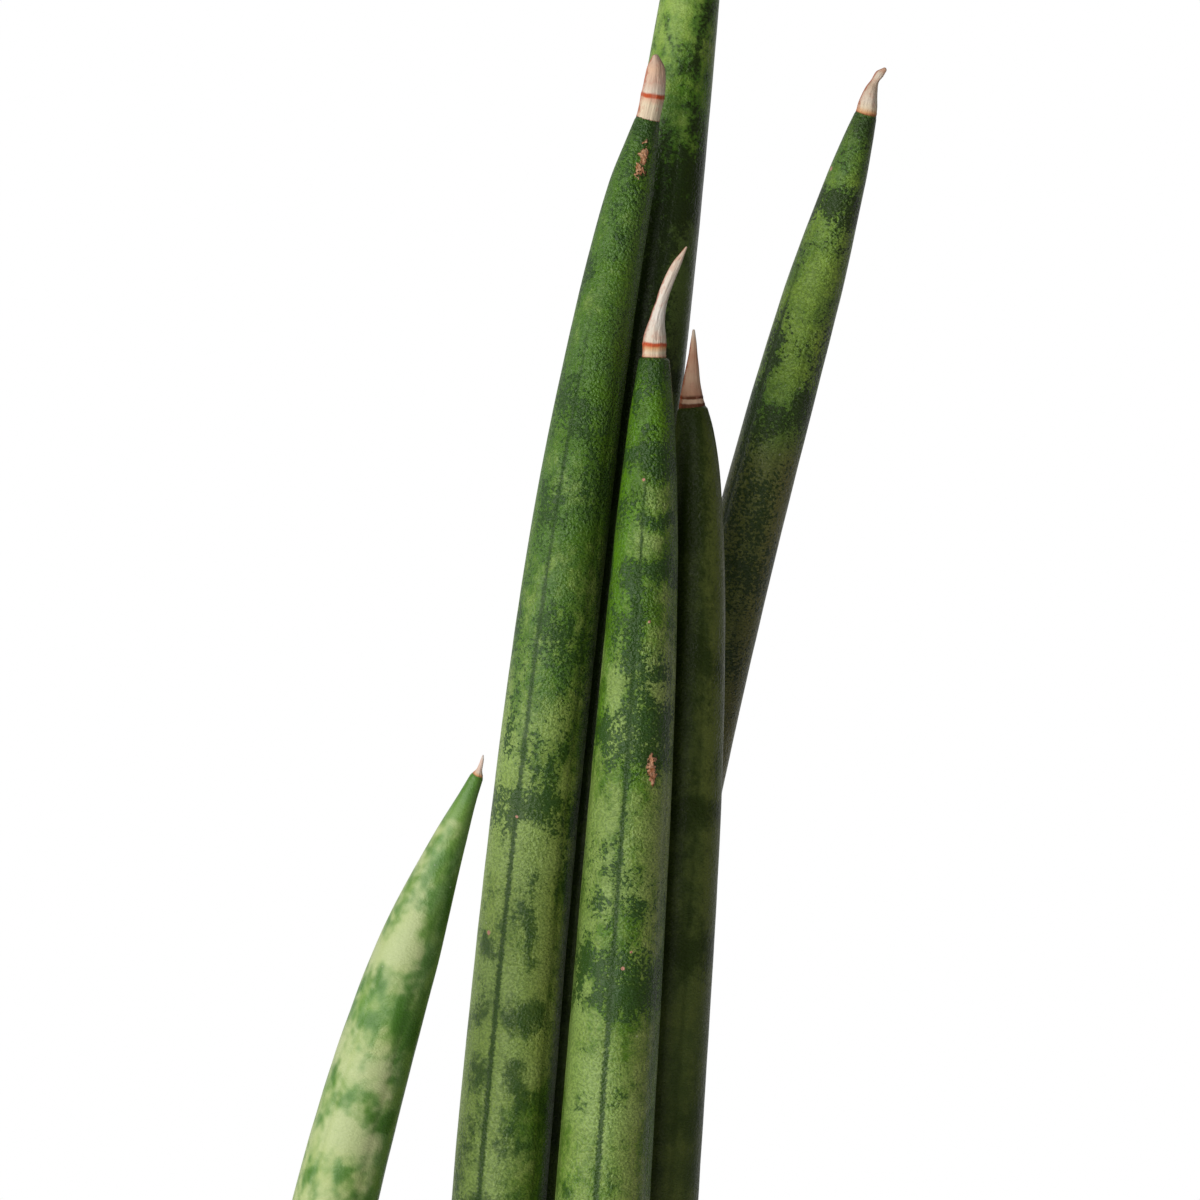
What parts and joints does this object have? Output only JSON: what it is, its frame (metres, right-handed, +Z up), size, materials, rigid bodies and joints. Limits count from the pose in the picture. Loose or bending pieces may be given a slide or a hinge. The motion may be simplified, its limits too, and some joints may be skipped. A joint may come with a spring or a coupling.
{
  "type": "potted cylindrical snake plant",
  "caption": "Potted succulent with tall, smooth, spear-like cylindrical leaves, mottled green with dry tips, in a plain round pot of soil.",
  "frame": {"origin": "centre of the pot's flat base, on the surface that it stands on", "axes": "+Z up the plant, -Y towards the viewer of the picture, +X to the viewer's right"},
  "size_m": [0.1616, 0.147, 0.5642],
  "materials": {
    "earthenware": "matte",
    "potting_soil": "matte",
    "rhizome": "matte",
    "leaf": "satin"
  },
  "bodies": {
    "root": {"pot": "earthenware", "soil": "potting_soil", "rhizome": "rhizome", "leaf_far_left": "leaf", "leaf_front_left": "leaf", "leaf_tall": "leaf", "leaf_front_centre": "leaf", "leaf_shaded": "leaf", "leaf_right": "leaf"}
  },
  "joints": []
}
